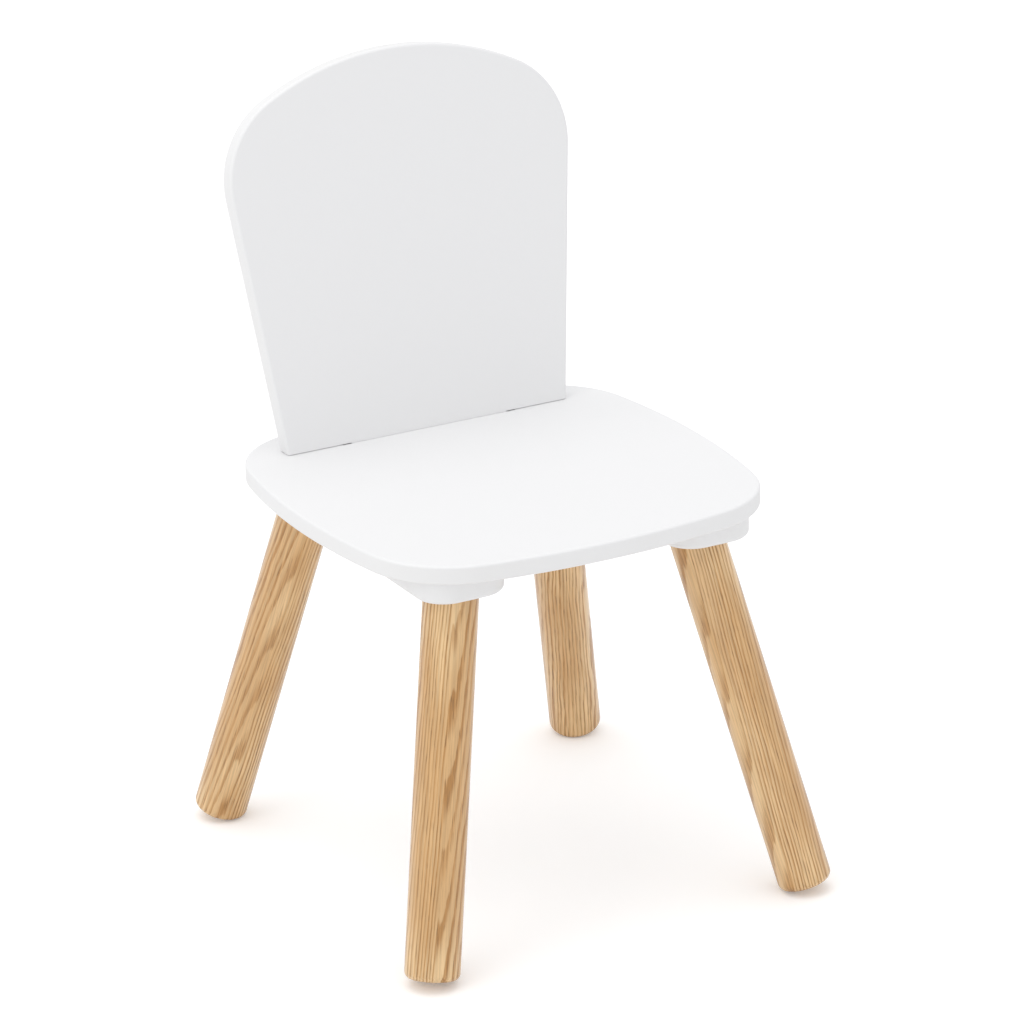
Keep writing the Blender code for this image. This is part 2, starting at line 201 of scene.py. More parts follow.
def calc(tree, operation, *values):
    node = tree.nodes.new("ShaderNodeMath")
    node.operation = operation
    wire(tree, node.inputs, values)
    return node.outputs[0]


def vector_calc(tree, operation, *values):
    node = tree.nodes.new("ShaderNodeVectorMath")
    node.operation = operation
    wire(tree, node.inputs, values)
    return node.outputs["Value" if operation in ("DOT_PRODUCT", "LENGTH") else "Vector"]


def noise(tree, place, scale, detail=2.0, roughness=0.5):
    node = tree.nodes.new("ShaderNodeTexNoise")
    sockets = [node.inputs[name] for name in ("Vector", "Scale", "Detail", "Roughness")]
    wire(tree, sockets, (place, scale, detail, roughness))
    return node.outputs[0]


def fade(tree, value, start, end, low=0.0, high=1.0):
    """low below the start, high past the end, and a smooth step between."""
    node = tree.nodes.new("ShaderNodeMapRange")
    node.interpolation_type = "SMOOTHSTEP"
    wire(tree, node.inputs, (value, start, end, low, high))
    return node.outputs[0]


def mixed(tree, share, first, second, blend="MIX"):
    node = tree.nodes.new("ShaderNodeMix")
    node.data_type = "RGBA"
    node.blend_type = blend
    wire(tree, (node.inputs[0], node.inputs[6], node.inputs[7]), (share, first, second))
    return node.outputs[2]


def new_group(name, inputs, outputs):
    """A node group, with its input sockets by name and its output sockets by name."""
    group = bpy.data.node_groups.new(name, "ShaderNodeTree")
    for label, kind, value in inputs:
        socket = group.interface.new_socket(
            name=label, in_out="INPUT", socket_type="NodeSocket" + kind
        )
        socket.default_value = value
    for label in outputs:
        group.interface.new_socket(
            name=label, in_out="OUTPUT", socket_type="NodeSocketFloat"
        )
    given = group.nodes.new("NodeGroupInput").outputs
    made = group.nodes.new("NodeGroupOutput").inputs
    return group, given, made


def placed(tree, group, **values):
    """The group as a node in this tree. Values are named as its inputs, with _ for a space."""
    node = tree.nodes.new("ShaderNodeGroup")
    node.node_tree = group
    for name, value in values.items():
        wire(tree, [node.inputs[name.replace("_", " ")]], [value])
    return node.outputs


def new_finish(name, **settings):
    """A material, its tree, its shader and the place in the chair."""
    material = bpy.data.materials.new(name)
    material.use_nodes = True
    tree = material.node_tree
    shader = tree.nodes["Principled BSDF"]
    for label, value in settings.items():
        shader.inputs[label.replace("_", " ")].default_value = value
    spot = tree.nodes.new("ShaderNodeTexCoord").outputs["Object"]
    return material, tree, shader, spot


def before_fitting(tree, spot, place):
    """A place in the chair as the piece had it on the bench, before it was fitted at its place."""
    node = tree.nodes.new("ShaderNodeMapping")
    node.vector_type = "TEXTURE"
    wire(tree, node.inputs, (spot, place.translation, place.to_euler()))
    return node.outputs[0]


def add_bump(tree, shader, height, depth):
    bump = tree.nodes.new("ShaderNodeBump")
    bump.inputs["Distance"].default_value = depth
    tree.links.new(height, bump.inputs["Height"])
    tree.links.new(bump.outputs["Normal"], shader.inputs["Normal"])


# Sprayed lacquer lies in a fine orange peel with a dry grain in it, fullest on the flats and
# thinner on the sides, where the fibreboard drinks it.
spray, given, made = new_group(
    "sprayed lacquer",
    [
        ("Vector", "Vector", (0, 0, 0)),
        ("Surface Normal", "Vector", (0, 0, 1)),
        ("Flat Direction", "Vector", (0, 0, 1)),
        ("Peel Width", "Float", 0.0016),
    ],
    ["Thin", "Sheen Change", "Height"],
)
facing_flat = vector_calc(spray, "DOT_PRODUCT", given["Surface Normal"], given["Flat Direction"])
side = calc(spray, "SUBTRACT", 1.0, calc(spray, "ABSOLUTE", facing_flat))
peel = noise(spray, given["Vector"], calc(spray, "DIVIDE", 1.0, given["Peel Width"]), 1.0)
grain = noise(spray, given["Vector"], 3600.0, 2.0, 0.6)
cloud = noise(spray, given["Vector"], 14.0, 3.0, 0.55)
handling = noise(spray, given["Vector"], 55.0, 4.0, 0.65)
thin = calc(spray, "MULTIPLY", fade(spray, side, 0.15, 0.95), fade(spray, cloud, 0.3, 0.7, 0.4, 1))
wire(spray, [made["Thin"]], [calc(spray, "ADD", thin, calc(spray, "MULTIPLY", cloud, 0.25))])
patchy = calc(spray, "SUBTRACT", handling, 0.5)
drier = calc(spray, "MULTIPLY", side, 0.10)
wire(spray, [made["Sheen Change"]], [calc(spray, "MULTIPLY_ADD", patchy, 0.16, drier)])
rough = calc(spray, "MULTIPLY", grain, calc(spray, "MULTIPLY_ADD", side, 0.5, 0.25))
wire(spray, [made["Height"]], [calc(spray, "ADD", peel, rough)])


def lacquered(name, flat_direction):
    """White lacquer on a board or rail whose flat faces look along this direction."""
    material, tree, shader, spot = new_finish(name, IOR=1.5)
    look = placed(
        tree,
        spray,
        Vector=spot,
        Surface_Normal=tree.nodes.new("ShaderNodeNewGeometry").outputs["Normal"],
        Flat_Direction=flat_direction,
    )
    thinness = calc(tree, "MULTIPLY", look["Thin"], THIN_SHARE)
    colour = mixed(tree, thinness, WHITE_LACQUER, THIN_LACQUER)
    wire(tree, [shader.inputs["Base Color"]], [colour])
    sheen = calc(tree, "ADD", look["Sheen Change"], LACQUER_ROUGHNESS)
    wire(tree, [shader.inputs["Roughness"]], [sheen])
    add_bump(tree, shader, look["Height"], PEEL_DEPTH)
    return material


def back_outline():
    """The back in the plane of its board, from the level of the seat's top."""
    shoulder_level = BOARD * math.tan(BACK_LEAN) - SHOULDER_CUT
    tongue_end = -(BOARD + CLEAT_HEIGHT) / math.cos(BACK_LEAN)
    along = Vector((math.sin(BACK_FLARE), math.cos(BACK_FLARE)))
    outward = Vector((math.cos(BACK_FLARE), -math.sin(BACK_FLARE)))
    side_foot = Vector((BACK_FOOT_HALF_WIDTH, 0))
    top_centre = Vector((0, BACK_HEIGHT - BACK_TOP_ARC))
    offset = side_foot - BACK_SHOULDER_ARC * outward - top_centre
    reach = BACK_TOP_ARC - BACK_SHOULDER_ARC
    travel = math.sqrt(offset.dot(along) ** 2 - offset.length_squared + reach**2)
    shoulder = top_centre + offset + (travel - offset.dot(along)) * along
    meet = math.atan2(shoulder.y - top_centre.y, shoulder.x)
    half = [
        Vector((TONGUE_HALF_WIDTH, tongue_end)),
        Vector((TONGUE_HALF_WIDTH, shoulder_level)),
        side_foot + along * shoulder_level / along.y,
    ]
    half += arc(shoulder, BACK_SHOULDER_ARC, -BACK_FLARE, meet, BACK_SHOULDER_STEPS)
    half += arc(top_centre, BACK_TOP_ARC, meet, math.pi / 2, BACK_TOP_STEPS)[1:-1]
    mirrored = [Vector((-point.x, point.y)) for point in reversed(half)]
    return half + [Vector((0, BACK_HEIGHT))] + mirrored


back_turn = Matrix.Rotation(math.pi / 2 - BACK_LEAN, 4, "X")
back_front = back_turn.to_3x3() @ Vector((0, 0, 1))
back_middle = Vector((0, BACK_FOOT_Y, SEAT_TOP)) - back_front * BOARD / 2
back_place = Matrix.Translation(back_middle) @ back_turn

BACK_BOLT_RADIUS = 0.003
BACK_BOLT_X = {"left": -0.026, "right": 0.026}
bolt_level = -(BOARD + CLEAT_HEIGHT / 2) / math.cos(BACK_LEAN)
back_bolt_places = {
    side_name: back_place @ Matrix.Translation((x, bolt_level, -BOARD / 2))
    for side_name, x in BACK_BOLT_X.items()
}


def bore(radius, start, end, steps=HOLE_FACETS):
    return turned([(0, end), (radius, end), (radius, start), (0, start)], steps)


back_holes = [
    (bore(BACK_BOLT_RADIUS + FIT, -CUT_PAST, BOARD + CUT_PAST), place)
    for place in back_bolt_places.values()
]
sawn_from = TONGUE_HALF_WIDTH - 2 * FIT
sawn_to = BACK_FOOT_HALF_WIDTH + BOARD
saw_place = Matrix.Translation((0, BACK_FOOT_Y, SEAT_TOP + SHOULDER_GAP - BOARD / 2))
for left, right in ((-sawn_to, -sawn_from), (sawn_from, sawn_to)):
    back_holes.append((slab(rectangle(left, right, -BOARD, 2 * BOARD), BOARD), saw_place))
back_board = slab(back_outline(), BOARD, BACK_RIM_ROUNDING)
back_board = drilled(back_board, back_place, back_holes)
back_lacquer = lacquered("white lacquer on the back", tuple(back_front))
fit_piece("back_board", back_board, back_place, back_lacquer, "backrest_panel")

# Legs. Round ash bars, turned straight, their feet rounded over and their upper ends square. Each
# splays outward and plugs into a rail, and is sanded and given a satin clear lacquer.
CORNERS = {
    "front_left": (-1, -1),
    "front_right": (1, -1),
    "rear_left": (-1, 1),
    "rear_right": (1, 1),
}
LEG_RADIUS = 0.0175
FOOT_ROUNDING = 0.005
LEG_TOP_CHAMFER = 0.0008
SEAT_UNDERSIDE = SEAT_TOP - BOARD
LEG_AT_RAIL = (0.0870, 0.0955)
LEG_AT_FLOOR = (0.1368, 0.1510)
RAIL_HEIGHT = 0.015
RAIL_UNDERSIDE = SEAT_UNDERSIDE - RAIL_HEIGHT
SOCKET_DEPTH = 0.0055
BOLT_RADIUS = 0.004
BOLT_IN_LEG = 0.036
LEG_FACETS = 96
LEG_BANDS = 10
FOOT_STEPS = 10
GRAIN_DEPTH = 0.00006
PALE_ASH = (0.800, 0.550, 0.280, 1.0)
DARK_ASH = (0.455, 0.212, 0.046, 1.0)
PORE_BROWN = (0.300, 0.146, 0.040, 1.0)
WARM_ASH = (0.660, 0.400, 0.170, 1.0)


def leg_line(corner):
    """Where a leg's middle line meets its rail's underside, and its direction upward."""
    side_sign, end_sign = corner
    at_rail = Vector((side_sign * LEG_AT_RAIL[0], end_sign * LEG_AT_RAIL[1], RAIL_UNDERSIDE))
    at_floor = Vector((side_sign * LEG_AT_FLOOR[0], end_sign * LEG_AT_FLOOR[1], 0))
    return at_rail, (at_rail - at_floor).normalized()


def leg_place(corner):
    """The middle of a leg's upper end, with +Z up the leg."""
    at_rail, up = leg_line(corner)
    turn = up.to_track_quat("Z", "Y").to_matrix().to_4x4()
    return Matrix.Translation(at_rail + up * SOCKET_DEPTH) @ turn


def leg_mesh(corner):
    up = leg_line(corner)[1]
    lean = math.acos(up.z)
    rim = (LEG_RADIUS - FOOT_ROUNDING) * math.sin(lean) + FOOT_ROUNDING
    length = (leg_place(corner).translation.z - rim) / up.z + FOOT_ROUNDING
    hole = BOLT_RADIUS + FIT
    profile = [
        (0, -BOLT_IN_LEG - FIT),
        (hole, -BOLT_IN_LEG - FIT),
        (hole, 0),
        (LEG_RADIUS - LEG_TOP_CHAMFER, 0),
        (LEG_RADIUS, -LEG_TOP_CHAMFER),
    ]
    span = length - FOOT_ROUNDING
    profile += [(LEG_RADIUS, -span * band / LEG_BANDS) for band in range(1, LEG_BANDS)]
    foot_centre = (LEG_RADIUS - FOOT_ROUNDING, -span)
    foot = arc(foot_centre, FOOT_ROUNDING, 0, -math.pi / 2, FOOT_STEPS)
    profile += [(point.x, point.y) for point in foot]
    profile.append((0, -length))
    return turned(profile, LEG_FACETS)


# Fibres run along the piece. Pores are short grooves that lie in them.
fibre, given, made = new_group(
    "wood fibre",
    [
        ("Vector", "Vector", (0, 0, 0)),
        ("Fibre Width", "Float", 0.0005),
        ("Pore Width", "Float", 0.0003),
        ("Pore Share", "Float", 0.4),
    ],
    ["Fibre", "Pore", "Patch"],
)
along_fibre = vector_calc(fibre, "MULTIPLY", given["Vector"], (1.0, 1.0, 0.022))
along_pore = vector_calc(fibre, "MULTIPLY", given["Vector"], (1.0, 1.0, 0.045))
streak = noise(fibre, along_fibre, calc(fibre, "DIVIDE", 0.5, given["Fibre Width"]), 3.0, 0.6)
pits = noise(fibre, along_pore, calc(fibre, "DIVIDE", 0.5, given["Pore Width"]), 1.0, 0.4)
enough = calc(fibre, "MULTIPLY_ADD", given["Pore Share"], -0.22, 0.70)
wire(fibre, [made["Fibre"]], [streak])
wire(fibre, [made["Pore"]], [fade(fibre, pits, enough, calc(fibre, "ADD", enough, 0.06))])
patch_place = vector_calc(fibre, "MULTIPLY", given["Vector"], (1.0, 1.0, 0.3))
wire(fibre, [made["Patch"]], [noise(fibre, patch_place, 38.0, 2.0, 0.5)])

# Growth rings lie in sheets that run up the bar and lean a little. On one side of a line they
# stand close and straight, and past it each sheet turns over and sweeps out into a flame.
rings, given, made = new_group(
    "growth rings",
    [
        ("Vector", "Vector", (0, 0, 0)),
        ("Across", "Vector", (1, 0, 0)),
        ("Flame Side", "Float", 1.0),
        ("Flame Edge", "Float", 0.0),
        ("Flame Breadth", "Float", 0.019),
        ("Ring Width", "Float", 0.002),
        ("Lean", "Float", 0.045),
        ("Waviness", "Float", 0.0009),
        ("Seed", "Float", 0.0),
    ],
    ["Early Wood", "Strength"],
)
shift = rings.nodes.new("ShaderNodeCombineXYZ")
wire(rings, shift.inputs, (given["Seed"], given["Seed"], given["Seed"]))
seeded = vector_calc(rings, "ADD", given["Vector"], shift.outputs[0])
long_wave = noise(rings, vector_calc(rings, "MULTIPLY", seeded, (1, 1, 0.3)), 48.0, 1.0)
short_wave = noise(rings, vector_calc(rings, "MULTIPLY", seeded, (1, 1, 0.16)), 330.0, 2.0)
sway = calc(rings, "MULTIPLY", calc(rings, "SUBTRACT", long_wave, 0.5), given["Waviness"])
ripple = calc(rings, "MULTIPLY", calc(rings, "SUBTRACT", short_wave, 0.5), given["Waviness"])
across = vector_calc(rings, "DOT_PRODUCT", given["Vector"], given["Across"])
swayed = calc(rings, "MULTIPLY_ADD", sway, 3.0, across)
from_edge = calc(
    rings, "MULTIPLY", calc(rings, "SUBTRACT", swayed, given["Flame Edge"]), given["Flame Side"]
)
squared = calc(rings, "MULTIPLY", from_edge, from_edge)
flame = calc(rings, "DIVIDE", squared, calc(rings, "MULTIPLY", given["Flame Breadth"], 2.0))
TIGHT_TURN = 0.0007
straight = calc(
    rings, "SUBTRACT",
    calc(rings, "SQRT", calc(rings, "ADD", squared, TIGHT_TURN**2)), TIGHT_TURN,
)
in_flame = calc(rings, "GREATER_THAN", from_edge, 0.0)
in_straight = calc(rings, "SUBTRACT", 1.0, in_flame)
sheet = calc(
    rings, "SUBTRACT",
    calc(rings, "MULTIPLY", flame, in_flame), calc(rings, "MULTIPLY", straight, in_straight),
)
height = rings.nodes.new("ShaderNodeSeparateXYZ")
wire(rings, height.inputs, (given["Vector"],))
leaning = calc(rings, "MULTIPLY", height.outputs["Z"], given["Lean"])
level = calc(rings, "ADD", calc(rings, "SUBTRACT", sheet, leaning), ripple)
count = calc(rings, "DIVIDE", level, given["Ring Width"])
along_count = rings.nodes.new("ShaderNodeCombineXYZ")
wire(rings, along_count.inputs, (calc(rings, "ADD", count, given["Seed"]), given["Seed"], 0.0))
uneven = noise(rings, along_count.outputs[0], 0.55, 1.0)
count = calc(rings, "MULTIPLY_ADD", uneven, 0.9, count)
phase = calc(rings, "FRACT", count)
rise = fade(rings, phase, 0.0, 0.10)
fall = fade(rings, phase, 0.22, 0.66, 1.0, 0.0)
wire(rings, [made["Early Wood"]], [calc(rings, "MULTIPLY", rise, fall)])
each_ring = rings.nodes.new("ShaderNodeTexWhiteNoise")
each_ring.noise_dimensions = "1D"
wire(rings, [each_ring.inputs["W"]], [calc(rings, "FLOOR", count)])
wire(rings, [made["Strength"]], [fade(rings, each_ring.outputs["Value"], 0.0, 1.0, 0.65, 1.0)])


def ash(name, place, across, flame_side, flame_edge, ring_width, lean, waviness, seed):
    """Ash with satin lacquer. Its pores crowd in the early wood of each ring."""
    material, tree, shader, spot = new_finish(
        name, IOR=1.5, Coat_Weight=0.85, Coat_Roughness=0.22
    )
    own = before_fitting(tree, spot, place)
    growth = placed(
        tree, rings, Vector=own, Across=across, Flame_Side=flame_side, Flame_Edge=flame_edge,
        Ring_Width=ring_width, Lean=lean, Waviness=waviness, Seed=seed,
    )
    figure = placed(tree, fibre, Vector=own, Pore_Share=0.5)
    pale = mixed(tree, fade(tree, figure["Patch"], 0.35, 0.65), PALE_ASH, WARM_ASH)
    broken = fade(tree, figure["Fibre"], 0.26, 0.60, 0.62, 1.15)
    strength = calc(tree, "MULTIPLY", growth["Strength"], broken)
    early = calc(tree, "MULTIPLY", growth["Early Wood"], strength)
    ringed = mixed(tree, early, pale, DARK_ASH)
    streaks = fade(tree, figure["Fibre"], 0.3, 0.7, 1.12, 0.88)
    grey = tree.nodes.new("ShaderNodeCombineColor")
    wire(tree, grey.inputs, (streaks, streaks, streaks))
    streaked = mixed(tree, 1.0, ringed, grey.outputs[0], "MULTIPLY")
    crowding = calc(tree, "MULTIPLY_ADD", early, 0.80, 0.14)
    pores = calc(tree, "MULTIPLY", figure["Pore"], crowding)
    wire(tree, [shader.inputs["Base Color"]], [mixed(tree, pores, streaked, PORE_BROWN)])
    sheen = calc(tree, "MULTIPLY_ADD", pores, 0.25, calc(tree, "MULTIPLY_ADD", early, 0.06, 0.42))
    wire(tree, [shader.inputs["Roughness"]], [sheen])
    raised = calc(tree, "MULTIPLY_ADD", figure["Fibre"], 0.25, 1.0)
    sunk = calc(tree, "ADD", pores, calc(tree, "MULTIPLY", early, 0.25))
    add_bump(tree, shader, calc(tree, "SUBTRACT", raised, sunk), GRAIN_DEPTH)
    return material


# Each bar is picked and set so that its flame shows from the front left. The values are the side
# its flame is on, the flame's edge, the ring width, the lean, the waviness and a seed.
ACROSS_FIGURE = Vector((0.879, -0.477, 0.0))
LEG_FIGURES = {
    "front_left": (1, 0.0021, 0.0020, 0.043, 0.0009, 1.0),
    "front_right": (-1, -0.0091, 0.0021, -0.044, 0.0008, 2.0),
    "rear_left": (-1, 0.0027, 0.0021, -0.045, 0.0009, 3.0),
    "rear_right": (1, 0.0172, 0.0024, 0.040, 0.0018, 4.0),
}
for where, corner in CORNERS.items():
    place = leg_place(corner)
    across_bar = place.to_3x3().inverted() @ ACROSS_FIGURE
    across_bar.z = 0
    across_bar.normalize()
    wood = ash("lacquered ash " + where, place, tuple(across_bar), *LEG_FIGURES[where])
    fit_piece("ash_leg_" + where, leg_mesh(corner), place, wood, "leg_" + where)

# Leg rails. A long board of the same fibreboard under each side of the seat, its corners round
# and its lower rim rounded over, screwed up under the seat and sprayed with it. Each has an
# angled socket for a front leg and one for a rear leg.
RAIL_INNER = 0.0583
RAIL_OUTER = 0.1173
RAIL_HALF_LENGTH = 0.126
RAIL_CORNER_ARC = 0.020
RAIL_CORNER_STEPS = 24
RAIL_ROUNDING = 0.003
SOCKET_CUT_LENGTH = 0.020
INSERT_RADIUS = 0.006
INSERT_LENGTH = 0.014
SCREW_RADIUS = 0.002
SCREW_HEAD_RADIUS = 0.0038
RAIL_SCREW_LENGTH = 0.022
RAIL_SCREW_CIRCLE = 0.0234
RAIL_SCREW_DEGREES = (60, 180, 300)


def screw_hole(length):
    """Follows a countersunk screw, a little wider all round and open below its head."""
    head_height = SCREW_HEAD_RADIUS - SCREW_RADIUS
    profile = [
        (0, length + FIT),
        (SCREW_RADIUS + FIT, length + FIT),
        (SCREW_RADIUS + FIT, head_height + 2 * FIT),
        (SCREW_HEAD_RADIUS + FIT, 2 * FIT),
        (SCREW_HEAD_RADIUS + FIT, -CUT_PAST),
        (0, -CUT_PAST),
    ]
    return turned(profile, HOLE_FACETS)


def rail_screw_places(corner):
    """One screw inward of the leg, and the two others evenly round it."""
    at_rail = leg_line(corner)[0]
    outward = math.atan2(at_rail.y, at_rail.x)
    places = []
    for degrees in RAIL_SCREW_DEGREES:
        angle = outward + math.radians(degrees)
        spoke = Vector((math.cos(angle), math.sin(angle), 0))
        spot = at_rail + RAIL_SCREW_CIRCLE * spoke
        places.append(Matrix.Translation(spot) @ Matrix.Rotation(angle, 4, "Z"))
    return places


def rail_outline():
    across = (RAIL_OUTER - RAIL_INNER) / 2 - RAIL_CORNER_ARC
    along = RAIL_HALF_LENGTH - RAIL_CORNER_ARC
    centres = ((across, along), (-across, along), (-across, -along), (across, -along))
    points = []
    for turn, centre in enumerate(centres):
        start = math.pi / 2 * turn
        points += arc(centre, RAIL_CORNER_ARC, start, start + math.pi / 2, RAIL_CORNER_STEPS)
    return points


seat_holes = []
rail_lacquer = lacquered("white lacquer on the rails", (0, 0, 1))
for side_name, side_sign in (("left", -1), ("right", 1)):
    thickness = RAIL_HEIGHT - FIT
    middle = (side_sign * (RAIL_INNER + RAIL_OUTER) / 2, 0, RAIL_UNDERSIDE + thickness / 2)
    stand = Matrix.Translation(middle)
    sockets = []
    holes = []
    for corner in CORNERS.values():
        if corner[0] != side_sign:
            continue
        place = leg_place(corner)
        socket = bore(LEG_RADIUS + FIT, FIT - SOCKET_CUT_LENGTH, FIT, LEG_FACETS)
        sockets.append((socket, place))
        holes.append((bore(INSERT_RADIUS + FIT, 0, INSERT_LENGTH + 4 * FIT), place))
        for spot in rail_screw_places(corner):
            holes.append((screw_hole(RAIL_SCREW_LENGTH), spot))
    rail = slab(rail_outline(), thickness, RAIL_ROUNDING, 8, upper_rim=False)
    rail = drilled(drilled(rail, stand, sockets), stand, holes)
    node = "leg_rail_" + side_name
    fit_piece("side_rail_" + side_name, rail, stand, rail_lacquer, node)
    seat_holes += holes

# Cleat. A planed beech bar screwed up under the seat behind the middle, its rear face sawn to the
# back's lean, with two threaded inserts that the back's bolts go into.
CLEAT_HALF_LENGTH = 0.055
CLEAT_FRONT_Y = 0.060
CLEAT_SCREW_Y = 0.070
CLEAT_EDGE = 0.001
CLEAT_SCREW_LENGTH = 0.030
CLEAT_SCREW_X = {"left": -0.038, "middle": 0.0, "right": 0.038}
BACK_INSERT_RADIUS = 0.0045
BACK_INSERT_LENGTH = 0.010
POCKET_END_PLAY = 0.002
PALE_BEECH = (0.650, 0.450, 0.285, 1.0)
DARK_BEECH = (0.520, 0.335, 0.200, 1.0)
FLECK_BROWN = (0.360, 0.200, 0.115, 1.0)
PLANED_DEPTH = 0.00005


def cleat_section():
    top = SEAT_UNDERSIDE - FIT
    bottom = SEAT_UNDERSIDE - CLEAT_HEIGHT
    slope = math.tan(BACK_LEAN)
    face = BACK_FOOT_Y - FIT / math.cos(BACK_LEAN)
    section = [
        (CLEAT_FRONT_Y, bottom),
        (face - (SEAT_TOP - bottom) * slope, bottom),
        (face - (SEAT_TOP - top) * slope, top),
        (CLEAT_FRONT_Y, top),
    ]
    return [Vector(point) for point in section]


# The section is drawn in Y and Z, and the bar runs along X.
CLEAT_STAND = Matrix(((0, 0, 1, 0), (1, 0, 0, 0), (0, 1, 0, 0), (0, 0, 0, 1)))
beech, tree, shader, spot = new_finish("planed beech", IOR=1.5)
own = before_fitting(tree, spot, CLEAT_STAND)
growth = placed(
    tree, rings, Vector=own, Across=(0.35, 0.94, 0), Ring_Width=0.0034, Lean=0.02,
    Waviness=0.0010, Flame_Edge=0.24, Flame_Side=-1.0, Flame_Breadth=0.2, Seed=6.0,
)
figure = placed(tree, fibre, Vector=own, Fibre_Width=0.0004, Pore_Width=0.00045, Pore_Share=0.35)
ringed = mixed(tree, calc(tree, "MULTIPLY", growth["Early Wood"], 0.45), PALE_BEECH, DARK_BEECH)
lined = mixed(tree, fade(tree, figure["Fibre"], 0.35, 0.75, 0.0, 0.4), ringed, DARK_BEECH)
flecks = calc(tree, "MULTIPLY", figure["Pore"], 0.7)
wire(tree, [shader.inputs["Base Color"]], [mixed(tree, flecks, lined, FLECK_BROWN)])
wire(tree, [shader.inputs["Roughness"]], [fade(tree, figure["Fibre"], 0.3, 0.7, 0.50, 0.62)])
add_bump(tree, shader, calc(tree, "SUBTRACT", figure["Fibre"], flecks), PLANED_DEPTH)

cleat_holes = []
for place in back_bolt_places.values():
    pocket_end = BOARD + BACK_INSERT_LENGTH + POCKET_END_PLAY
    pocket = bore(BACK_INSERT_RADIUS + FIT, BOARD - CUT_PAST, pocket_end)
    cleat_holes.append((pocket, place))
cleat_screw_places = {}
for where, x in CLEAT_SCREW_X.items():
    spot = Vector((x, CLEAT_SCREW_Y, SEAT_UNDERSIDE - CLEAT_HEIGHT))
    cleat_screw_places[where] = Matrix.Translation(spot)
    hole = (screw_hole(CLEAT_SCREW_LENGTH), cleat_screw_places[where])
    cleat_holes.append(hole)
    seat_holes.append(hole)
cleat = slab(cleat_section(), 2 * CLEAT_HALF_LENGTH, CLEAT_EDGE, 4)
cleat = drilled(cleat, CLEAT_STAND, cleat_holes)
fit_piece("beech_cleat", cleat, CLEAT_STAND, beech, "back_cleat")

# Seat board. A square of the same fibreboard with bulging sides, cut on a router. It is drilled
# last, when every hole in it is known: the tongue's leaning slot, and from below the four insert
# holes and the fifteen screw holes. It is sprayed with the rails.
SEAT_HALF_WIDTH = 0.144
SEAT_SIDE_ARC = 0.495
SEAT_CORNER_ARC = 0.0625
SEAT_SIDE_STEPS = 22
SEAT_CORNER_STEPS = 26
SEAT_REAR_SHARE = 0.978
SEAT_RIM_ROUNDING = 0.0018
SLOT_END_PLAY = 0.006


def seat_outline():
    """Four quarters, each a long side arc that runs smoothly into a corner arc. The rear half is
    a little shorter than the front half."""
    side_centre = SEAT_HALF_WIDTH - SEAT_SIDE_ARC
    reach = SEAT_SIDE_ARC - SEAT_CORNER_ARC
    corner = (side_centre + math.sqrt(2 * reach**2 - side_centre**2)) / 2
    joint = math.atan2(corner, corner - side_centre)
    side = arc((side_centre, 0), SEAT_SIDE_ARC, -joint, joint, SEAT_SIDE_STEPS)
    corner_end = math.pi / 2 - joint
    round_corner = arc((corner, corner), SEAT_CORNER_ARC, joint, corner_end, SEAT_CORNER_STEPS)
    quarter = side[:-1] + round_corner[:-1]
    turns = [Matrix.Rotation(math.pi / 2 * turn, 2) for turn in range(4)]
    points = [turn @ point for turn in turns for point in quarter]
    return [Vector((x, y * SEAT_REAR_SHARE if y > 0 else y)) for x, y in points]


slot_half = TONGUE_HALF_WIDTH + SLOT_END_PLAY
slot_reach = 2 * (BOARD + CLEAT_HEIGHT)
slot_outline = rectangle(-slot_half, slot_half, -slot_reach, slot_reach)
seat_holes.append((slab(slot_outline, BOARD + 2 * FIT), back_place))
seat_place = Matrix.Translation((0, 0, SEAT_TOP - BOARD / 2))
seat_board = drilled(slab(seat_outline(), BOARD, SEAT_RIM_ROUNDING), seat_place, seat_holes)
seat_lacquer = lacquered("white lacquer on the seat", (0, 0, 1))
fit_piece("seat_board", seat_board, seat_place, seat_lacquer, "seat_panel")

# Wood screws. Countersunk steel screws with a cross recess, zinc plated, six up through each
# rail and three up through the cleat, all into the seat.
SCREW_POINT = 0.004
SCREW_PITCH = 0.0018
SCREW_THREAD = 0.0006
RECESS_HALF_LENGTH = 0.0021
RECESS_HALF_WIDTH = 0.00045
RECESS_DEPTH = 0.0016
RECESS_TAPER = 0.45
RECESS_ABOVE_HEAD = 0.0005
SCREW_TIP_RADIUS = 0.0006
SCREW_TIP_LENGTH = 0.0008
NECK_LENGTH = 0.003
THREAD_RUN_OUT = 0.0002
NECK_FILLET = 0.0004
SCREW_FACETS = 28
LIGHT_ZINC = (0.66, 0.67, 0.69, 1.0)
DARK_ZINC = (0.54, 0.55, 0.56, 1.0)
YELLOWED_ZINC = (0.62, 0.58, 0.47, 1.0)
PLATING_DEPTH = 0.000006

zinc, tree, shader, spot = new_finish("bright zinc plate", Metallic=1.0)
spangle = noise(tree, spot, 420.0, 3.0, 0.6)
smears = noise(tree, spot, 95.0, 2.0)
bright = mixed(tree, spangle, LIGHT_ZINC, DARK_ZINC)
tinted = mixed(tree, fade(tree, smears, 0.45, 0.75, 0.0, 0.35), bright, YELLOWED_ZINC)
wire(tree, [shader.inputs["Base Color"]], [tinted])
wire(tree, [shader.inputs["Roughness"]], [fade(tree, spangle, 0.3, 0.7, 0.24, 0.40)])
add_bump(tree, shader, noise(tree, spot, 5200.0, 2.0), PLATING_DEPTH)


def threaded(radius, start, end, depth, pitch):
    """Rows of a thread, from the higher to the lower height, eight to each turn."""
    rows = max(1, round((start - end) / pitch * 8))
    return [(radius, start + (end - start) * row / rows, depth) for row in range(rows + 1)]


